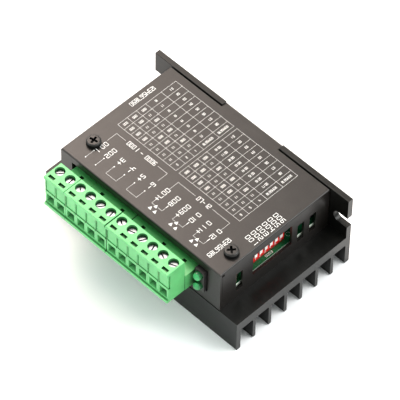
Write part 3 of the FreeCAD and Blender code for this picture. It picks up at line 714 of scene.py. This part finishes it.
def wiring_marks(settings):
    ink = cover_ink(settings.line)
    supply_leaders(ink)
    for first in (3, 5):
        coil_symbol(ink, first)
    for first in (7, 9, 11):
        input_symbol(ink, first)
    group_bracket(ink, 1, 6, "0001 - 0006", settings)
    group_bracket(ink, 7, 12, "07-12", settings)
    return ink


LEFT_ROW = (COVER_HIGH.x - 76.3 * MM, COVER_LOW.y + 37.6 * MM)
LAMP_ROW = (COVER_HIGH.x - 9.1 * MM, COVER_LOW.y + 8.8 * MM)
LEVER_LABELS = (COVER_HIGH.x - 3.7 * MM, COVER_LOW.y + 18.8 * MM)
LEVER_LABEL_PITCH = 2.76 * MM


def edge_labels(settings):
    """Counting figures at the left edge and by the lamps, and lever numbers by the switch."""
    ink = cover_ink(settings.stroke)
    height = settings.label_height
    write(ink, "1234567890", LEFT_ROW, DOWN, height)
    write(ink, "123456789", LAMP_ROW, DOWN, height)
    for number in range(1, LEVERS + 1):
        centre = (LEVER_LABELS[0], LEVER_LABELS[1] + (number - 1) * LEVER_LABEL_PITCH)
        write(ink, "%03d" % number, centre, ACROSS, height, WIDE)
    return ink


def switch_print(settings):
    """Lever numbers on the switch's outer face."""
    low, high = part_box("dip_switch_body")
    ink = Ink((high.x, 0, low.z), (0, 1, 0), (0, 0, 1), settings.stroke * 0.8)
    for number in range(1, LEVERS + 1):
        write(ink, str(number), (lever_y(number), 1.5 * MM), ACROSS, settings.label_height * 0.7)
    return ink


# Part numbers on the board: text, place along the edge and distance in from it, in millimetres
BOARD_NUMBERS = (("01", -11.4, 1.6), ("2", -3.9, 1.3), ("0003", 5.8, 1.2), ("04", 24.8, 1.6))


def board_print(settings):
    """A part ring and part numbers on the board, seen through the windows."""
    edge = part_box("circuit_board")[1].x
    ink = Ink((edge, 0, BOARD_TOP), (0, 1, 0), (-1, 0, 0), settings.stroke * 0.7)
    ink.circle((16.9 * MM, 2.6 * MM), 0.9 * MM)
    for text, along, inward in BOARD_NUMBERS:
        write(ink, text, (along * MM, inward * MM), ACROSS, settings.cell_height, WIDE)
    return ink


# ---------------------------------------------------------------- lamps

CUP_SIDES = 32
# Share of the lamp's radius and depth behind its tip in millimetres: floor, rim, outside, then the post
CUP_PROFILE = ((0, 2.1), (0.30, 2.1), (0.62, 1.35), (0.72, 1.35),
               (0.42, 2.4), (0.30, 2.7), (0.30, 4.2), (0, 4.2))


def turned(name, profile, centre, material):
    """A solid turned about Y from (radius, y) points; it starts and ends at radius 0."""
    mesh = bmesh.new()
    turn = 2 * math.pi / CUP_SIDES
    rings = []
    for radius, y in profile:
        count = CUP_SIDES if radius else 1
        rings.append([mesh.verts.new((centre.x + radius * math.cos(turn * i), y,
                                      centre.z + radius * math.sin(turn * i))) for i in range(count)])
    for first, second in zip(rings, rings[1:]):
        for i in range(CUP_SIDES):
            j = (i + 1) % CUP_SIDES
            corners = [first[i % len(first)], first[j % len(first)],
                       second[j % len(second)], second[i % len(second)]]
            mesh.faces.new(list(dict.fromkeys(corners)))
    bmesh.ops.recalc_face_normals(mesh, faces=mesh.faces)
    data = bpy.data.meshes.new(name)
    mesh.to_mesh(data)
    mesh.free()
    piece = bpy.data.objects.new(name, data)
    bpy.context.scene.collection.objects.link(piece)
    data.materials.append(material)
    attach(piece, ROOT_BODY)


def lamp_cup(name, material):
    """The metal cup and post set in one lamp's resin."""
    low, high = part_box(name)
    radius = (high.x - low.x) / 2
    tip = low.y
    centre = Vector(((low.x + high.x) / 2, 0, high.z - radius))
    profile = [(share * radius, tip + depth * MM) for share, depth in CUP_PROFILE]
    turned(name + "_cup", profile, centre, material)


# ---------------------------------------------------------------- operators

def settings_of(context):
    return context.scene.driver_finishes, context.scene.driver_print, context.scene.driver_stage


class DRIVER_OT_finishes(bpy.types.Operator):
    """Makes the shared effects and the materials, and gives every CAD node its own"""
    bl_idname = "driver.finishes"
    bl_label = "Finishes"

    def execute(self, context):
        finishes, _, _ = settings_of(context)
        make_grain_group()
        make_lines_group()
        make_wear_group()
        make_cavity_group()
        make_dust_group()
        materials = make_materials(finishes)
        for slot_name, material in materials.items():
            material.name = slot_name
        for entry in frame["record"]["subparts"]:
            node = frame["nodes"][entry["node"]]
            node.data.materials.clear()
            node.data.materials.append(materials[entry["material_slot"]])
        return {"FINISHED"}


class DRIVER_OT_tables(bpy.types.Operator):
    """Prints the two setting tables on the cover"""
    bl_idname = "driver.tables"
    bl_label = "Cover tables"

    def execute(self, context):
        _, print_settings, _ = settings_of(context)
        material = material_for("white_ink")
        table_grid(print_settings).finish("table_grid", material)
        table_marks(print_settings).finish("table_marks", material)
        return {"FINISHED"}


class DRIVER_OT_labels(bpy.types.Operator):
    """Prints the terminal numbers, wiring symbols and edge labels on the cover"""
    bl_idname = "driver.labels"
    bl_label = "Cover labels"

    def execute(self, context):
        _, print_settings, _ = settings_of(context)
        material = material_for("white_ink")
        terminal_labels(print_settings).finish("terminal_numbers", material)
        wiring_marks(print_settings).finish("wiring_marks", material)
        edge_labels(print_settings).finish("edge_labels", material)
        return {"FINISHED"}


class DRIVER_OT_board_print(bpy.types.Operator):
    """Prints the lever numbers on the switch and the marks on the board"""
    bl_idname = "driver.board_print"
    bl_label = "Board and switch print"

    def execute(self, context):
        _, print_settings, _ = settings_of(context)
        material = material_for("white_ink")
        switch_print(print_settings).finish("switch_numbers", material)
        board_print(print_settings).finish("board_marks", material)
        return {"FINISHED"}


class DRIVER_OT_lamp_cups(bpy.types.Operator):
    """Sets a metal cup in each lamp's clear resin"""
    bl_idname = "driver.lamp_cups"
    bl_label = "Lamp cups"

    def execute(self, context):
        for name in ("alarm_led", "power_led"):
            lamp_cup(name, material_for("tinned_pins"))
        return {"FINISHED"}


class DRIVER_OT_stage(bpy.types.Operator):
    """Floor, camera and soft studio light"""
    bl_idname = "driver.stage"
    bl_label = "Stage"

    def execute(self, context):
        _, _, stage = settings_of(context)
        make_floor(stage)
        make_camera(context.scene, stage)
        make_lights(context.scene, stage)
        context.scene.view_settings.view_transform = "Standard"
        context.scene.view_settings.look = "Medium High Contrast"
        return {"FINISHED"}


# ---------------------------------------------------------------- stage

FLOOR_SIZE = 6.0
AIM = Vector((2.77, 5.59, 19.94)) * MM


def make_floor(stage):
    mesh = bmesh.new()
    bmesh.ops.create_grid(mesh, x_segments=8, y_segments=8, size=FLOOR_SIZE / 2)
    data = bpy.data.meshes.new("studio_floor")
    mesh.to_mesh(data)
    mesh.free()
    floor = bpy.data.objects.new("studio_floor", data)
    floor.location.z = CAD_LOW.z - 0.02 * MM
    bpy.context.scene.collection.objects.link(floor)
    material, graph, shader = new_material("studio_paper", specular=0.2)
    grain = graph.group("Fine grain", scale=900.0, clouds=6.0)
    tone = graph.spread(grain.outputs["Cloud"], 0.3, 0.7, 0.0, 1.0)
    graph.put(shader.inputs["Base Color"],
              graph.mix(tone, opaque(shade(stage.floor, 0.99)), opaque(shade(stage.floor, 1.01))))
    graph.put(shader.inputs["Roughness"], graph.spread(tone, 0.0, 1.0, 0.62, 0.70))
    data.materials.append(material)


def make_camera(scene, stage):
    data = bpy.data.cameras.new("studio_camera")
    data.lens = stage.lens
    data.clip_start = 0.05
    data.clip_end = 20.0
    camera = bpy.data.objects.new("studio_camera", data)
    scene.collection.objects.link(camera)
    flat = math.cos(stage.elevation)
    back = Vector((math.sin(stage.azimuth) * flat, -math.cos(stage.azimuth) * flat,
                   math.sin(stage.elevation)))
    turn = (-back).to_track_quat("-Z", "Y").to_matrix().to_4x4()
    camera.matrix_world = Matrix.Translation(AIM + back * stage.distance) @ turn @ Matrix.Rotation(
        stage.roll, 4, "Z")
    scene.camera = camera


def soft_box(scene, name, place, target, size, power, tint):
    data = bpy.data.lights.new(name, "AREA")
    data.shape = "RECTANGLE"
    data.size = size[0]
    data.size_y = size[1]
    data.energy = power
    data.color = tint
    light = bpy.data.objects.new(name, data)
    scene.collection.objects.link(light)
    light.location = place
    light.rotation_mode = "QUATERNION"
    light.rotation_quaternion = (Vector(target) - Vector(place)).to_track_quat("-Z", "Y")


def make_lights(scene, stage):
    centre = (0.0, 0.0, 0.02)
    soft_box(scene, "key_box", (-0.36, 0.12, 0.50), centre, (0.38, 0.38), stage.key, (1.0, 0.84, 0.75))
    soft_box(scene, "back_box", (0.34, 0.34, 0.60), centre, (0.45, 0.45), stage.back, (1.0, 1.0, 1.0))
    soft_box(scene, "front_box", (-0.35, -0.80, 0.40), centre, (0.80, 0.50), stage.front, (0.96, 1.0, 1.0))
    world = bpy.data.worlds.new("studio_surround")
    world.use_nodes = True
    background = world.node_tree.nodes["Background"]
    background.inputs["Color"].default_value = (0.95, 1.0, 0.985, 1.0)
    background.inputs["Strength"].default_value = stage.sky
    scene.world = world


# ---------------------------------------------------------------- panel

STEPS = ("finishes", "tables", "labels", "board_print", "lamp_cups", "stage")


class DRIVER_PT_panel(bpy.types.Panel):
    """Lists the steps that build the module's looks"""
    bl_idname = "DRIVER_PT_panel"
    bl_label = "Stepper driver module"
    bl_space_type = "VIEW_3D"
    bl_region_type = "UI"
    bl_category = "Driver"

    def draw(self, context):
        column = self.layout.column()
        for step in STEPS:
            column.operator("driver." + step)
        for settings in settings_of(context):
            box = column.box()
            for name in settings.__annotations__:
                box.prop(settings, name)


CLASSES = (
    DriverFinishes,
    DriverPrint,
    DriverStage,
    DRIVER_OT_finishes,
    DRIVER_OT_tables,
    DRIVER_OT_labels,
    DRIVER_OT_board_print,
    DRIVER_OT_lamp_cups,
    DRIVER_OT_stage,
    DRIVER_PT_panel,
)


def register():
    for item in CLASSES:
        bpy.utils.register_class(item)
    bpy.types.Scene.driver_finishes = PointerProperty(type=DriverFinishes)
    bpy.types.Scene.driver_print = PointerProperty(type=DriverPrint)
    bpy.types.Scene.driver_stage = PointerProperty(type=DriverStage)


def unregister():
    del bpy.types.Scene.driver_stage
    del bpy.types.Scene.driver_print
    del bpy.types.Scene.driver_finishes
    for item in reversed(CLASSES):
        bpy.utils.unregister_class(item)


def main():
    register()
    for step in STEPS:
        getattr(bpy.ops.driver, step)()


if __name__ == "__main__":
    main()
